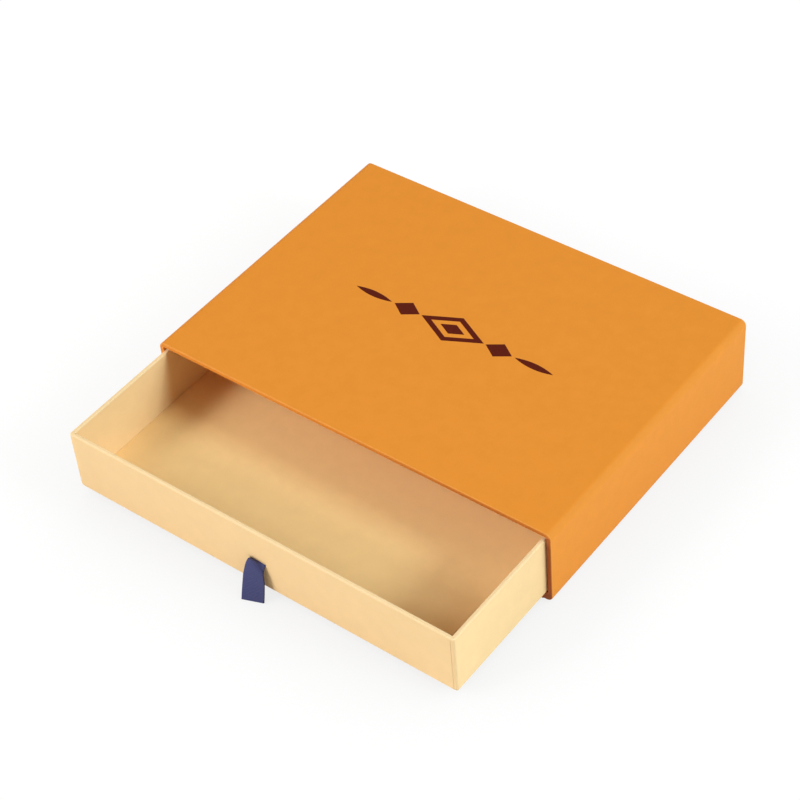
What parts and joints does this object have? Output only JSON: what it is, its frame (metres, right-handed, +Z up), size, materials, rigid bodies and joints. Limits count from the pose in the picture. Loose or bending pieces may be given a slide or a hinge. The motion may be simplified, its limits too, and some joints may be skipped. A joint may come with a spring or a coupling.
{
  "type": "sliding drawer gift box",
  "caption": "Flat paper-covered board sleeve, closed at the back, with a shallow open tray that slides out of its mouth on a ribbon pull.",
  "frame": {"origin": "centre of the sleeve's underside, on the surface that the box stands on", "axes": "+Z up, +X to the right along the box's width as the drawer faces the viewer, -Y the way the drawer slides out, +Y towards the closed back"},
  "size_m": [0.21, 0.2227, 0.0405],
  "materials": {
    "orange_paper": "matte fine-grained wrapping paper",
    "cream_paper": "matte fine-grained wrapping paper",
    "cream_card": "matte covered card",
    "greyboard": "raw grey board",
    "kraft_tape": "gummed kraft paper",
    "blue_ribbon": "woven grosgrain ribbon"
  },
  "bodies": {
    "sleeve": {"sleeve_board": "greyboard", "sleeve_back_board": "greyboard", "sleeve_wrap": "orange_paper", "sleeve_base_sheet": "orange_paper", "sleeve_back_sheet": "orange_paper", "sleeve_lining": "orange_paper", "sleeve_end_lining": "orange_paper"},
    "drawer": {"tray_board": "greyboard", "tray_stay_front_left": "kraft_tape", "tray_stay_front_right": "kraft_tape", "tray_stay_back_left": "kraft_tape", "tray_stay_back_right": "kraft_tape", "tray_wrap": "cream_paper", "tray_base_sheet": "cream_paper", "tray_floor_liner": "cream_card", "pull_ribbon": "blue_ribbon", "ribbon_patch": "kraft_tape"}
  },
  "joints": [
    {"name": "drawer_slide", "type": "slide", "parent": "sleeve", "child": "drawer", "axis": [0, -1, 0], "range_m": [-0.062, 0.09]}
  ]
}
